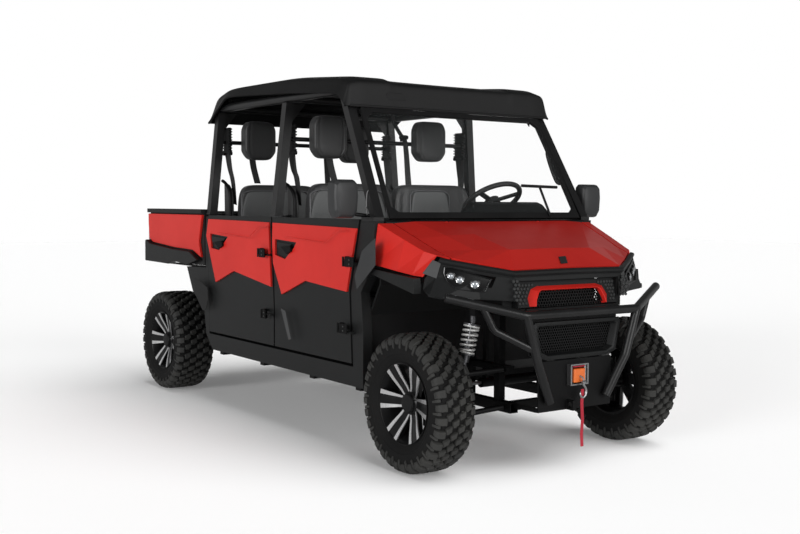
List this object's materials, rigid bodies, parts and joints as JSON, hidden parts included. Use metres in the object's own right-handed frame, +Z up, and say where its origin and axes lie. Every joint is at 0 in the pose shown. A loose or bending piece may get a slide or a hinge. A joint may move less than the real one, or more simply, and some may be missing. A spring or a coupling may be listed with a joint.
{
  "type": "side by side utility vehicle",
  "caption": "Crew side by side utility vehicle with two bench rows under a roll cage, half doors, an opening hood and a tipping cargo bed.",
  "frame": {"origin": "on the ground, midway along the length and on the centre plane", "axes": "+Z up, the front faces -Y, the vehicle's left is +X"},
  "size_m": [1.876, 3.78, 2.045],
  "materials": {
    "belt_fabric": "woven",
    "black_frame": "satin",
    "black_plastic": "moulded grain",
    "clear_glass": "clear",
    "dark_plastic": "moulded grain",
    "lamp_lens": "gloss",
    "red_plastic": "semi gloss",
    "rim_metal": "black with machined faces",
    "seat_vinyl": "vinyl",
    "steel": "plain",
    "strap_fabric": "woven",
    "tail_lens": "gloss",
    "tyre_rubber": "matt"
  },
  "bodies": {
    "chassis": {"frame": "black_frame", "subframes": "black_frame", "battery_pack": "black_frame", "drive_unit": "steel", "suspension_arms": "black_frame", "shocks": "steel", "rear_axles": "black_frame", "hitch_receiver": "black_frame", "floor_tub": "black_plastic", "side_frames": "dark_plastic", "fenders": "red_plastic", "fascia": "dark_plastic", "grille": "black_plastic", "grille_trim": "red_plastic", "headlamps": "lamp_lens", "bumper": "black_frame", "skid_plate": "black_frame", "winch": "steel", "hook_strap": "strap_fabric", "dash": "dark_plastic", "windshield": "clear_glass", "windshield_gasket": "black_plastic", "wiper": "black_plastic", "mirrors": "black_plastic", "cage_pillars": "black_frame", "cage_rails": "black_frame", "roof": "black_plastic", "seat_boxes": "black_plastic", "seats": "seat_vinyl", "headrests": "seat_vinyl", "seat_belts": "belt_fabric"},
    "hood": {"hood": "red_plastic"},
    "steering_rack": {"steering_rack": "steel"},
    "steering_wheel": {"steering_wheel": "black_plastic"},
    "cargo_bed": {"bed_tub": "black_plastic", "bed_sides": "red_plastic", "bed_flares": "dark_plastic", "tail_lamps": "tail_lens"},
    "tailgate": {"tailgate": "black_plastic"},
    "front_left_knuckle": {"front_left_knuckle": "black_frame"},
    "front_left_wheel": {"front_left_rim": "rim_metal", "front_left_tyre": "tyre_rubber"},
    "front_left_door": {"front_left_door": "dark_plastic", "front_left_door_skin": "red_plastic"},
    "rear_left_wheel": {"rear_left_rim": "rim_metal", "rear_left_tyre": "tyre_rubber"},
    "rear_left_door": {"rear_left_door": "dark_plastic", "rear_left_door_skin": "red_plastic"},
    "front_right_knuckle": {"front_right_knuckle": "black_frame"},
    "front_right_wheel": {"front_right_rim": "rim_metal", "front_right_tyre": "tyre_rubber"},
    "front_right_door": {"front_right_door": "dark_plastic", "front_right_door_skin": "red_plastic"},
    "rear_right_wheel": {"rear_right_rim": "rim_metal", "rear_right_tyre": "tyre_rubber"},
    "rear_right_door": {"rear_right_door": "dark_plastic", "rear_right_door_skin": "red_plastic"}
  },
  "joints": [
    {"name": "front_right_steer", "type": "hinge", "parent": "chassis", "child": "front_right_knuckle", "pos_m": [-0.64, -1.445, 0.343], "axis": [0, 0, 1], "range_deg": [-30, 30]},
    {"name": "front_left_steer", "type": "hinge", "parent": "chassis", "child": "front_left_knuckle", "pos_m": [0.64, -1.445, 0.343], "axis": [0, 0, 1], "range_deg": [-30, 30]},
    {"name": "steering_rack_slide", "type": "slide", "parent": "chassis", "child": "steering_rack", "axis": [-1, 0, 0], "range_m": [-0.0551, 0.0551]},
    {"name": "steering_wheel_turn", "type": "hinge", "parent": "chassis", "child": "steering_wheel", "pos_m": [0.34, -0.745, 1.33], "axis": [0, 0.5736, 0.8192], "range_deg": [-361, 361]},
    {"name": "front_right_wheel_spin", "type": "hinge", "parent": "front_right_knuckle", "child": "front_right_wheel", "pos_m": [-0.6995, -1.445, 0.343], "axis": [1, 0, 0], "continuous": true},
    {"name": "front_left_wheel_spin", "type": "hinge", "parent": "front_left_knuckle", "child": "front_left_wheel", "pos_m": [0.6995, -1.445, 0.343], "axis": [1, 0, 0], "continuous": true},
    {"name": "rear_right_wheel_spin", "type": "hinge", "parent": "chassis", "child": "rear_right_wheel", "pos_m": [-0.676, 1.505, 0.343], "axis": [1, 0, 0], "continuous": true},
    {"name": "rear_left_wheel_spin", "type": "hinge", "parent": "chassis", "child": "rear_left_wheel", "pos_m": [0.676, 1.505, 0.343], "axis": [1, 0, 0], "continuous": true},
    {"name": "front_right_door_hinge", "type": "hinge", "parent": "chassis", "child": "front_right_door", "pos_m": [-0.788, -0.935, 1.01], "axis": [0, -0.1453, 0.9894], "range_deg": [0, 70]},
    {"name": "front_left_door_hinge", "type": "hinge", "parent": "chassis", "child": "front_left_door", "pos_m": [0.788, -0.935, 1.01], "axis": [0, 0.1453, -0.9894], "range_deg": [0, 70]},
    {"name": "rear_right_door_hinge", "type": "hinge", "parent": "chassis", "child": "rear_right_door", "pos_m": [-0.788, 0.016, 1.019], "axis": [0, 0.117, 0.9931], "range_deg": [0, 70]},
    {"name": "rear_left_door_hinge", "type": "hinge", "parent": "chassis", "child": "rear_left_door", "pos_m": [0.788, 0.016, 1.019], "axis": [0, -0.117, -0.9931], "range_deg": [0, 70]},
    {"name": "hood_hinge", "type": "hinge", "parent": "chassis", "child": "hood", "pos_m": [0, -1.169, 1.214], "axis": [-1, 0, 0], "range_deg": [0, 50]},
    {"name": "cargo_bed_tip", "type": "hinge", "parent": "chassis", "child": "cargo_bed", "pos_m": [0, 1.68, 0.856], "axis": [-1, 0, 0], "range_deg": [0, 45]},
    {"name": "tailgate_drop", "type": "hinge", "parent": "cargo_bed", "child": "tailgate", "pos_m": [0, 1.812, 0.9343], "axis": [-1, 0, 0], "range_deg": [0, 90]}
  ],
  "couplings": [
    {"joint": "front_left_steer", "follows": "front_right_steer", "ratio": 1},
    {"joint": "steering_rack_slide", "follows": "front_right_steer", "m_per_rad": 0.105},
    {"joint": "steering_wheel_turn", "follows": "front_right_steer", "ratio": 12}
  ]
}
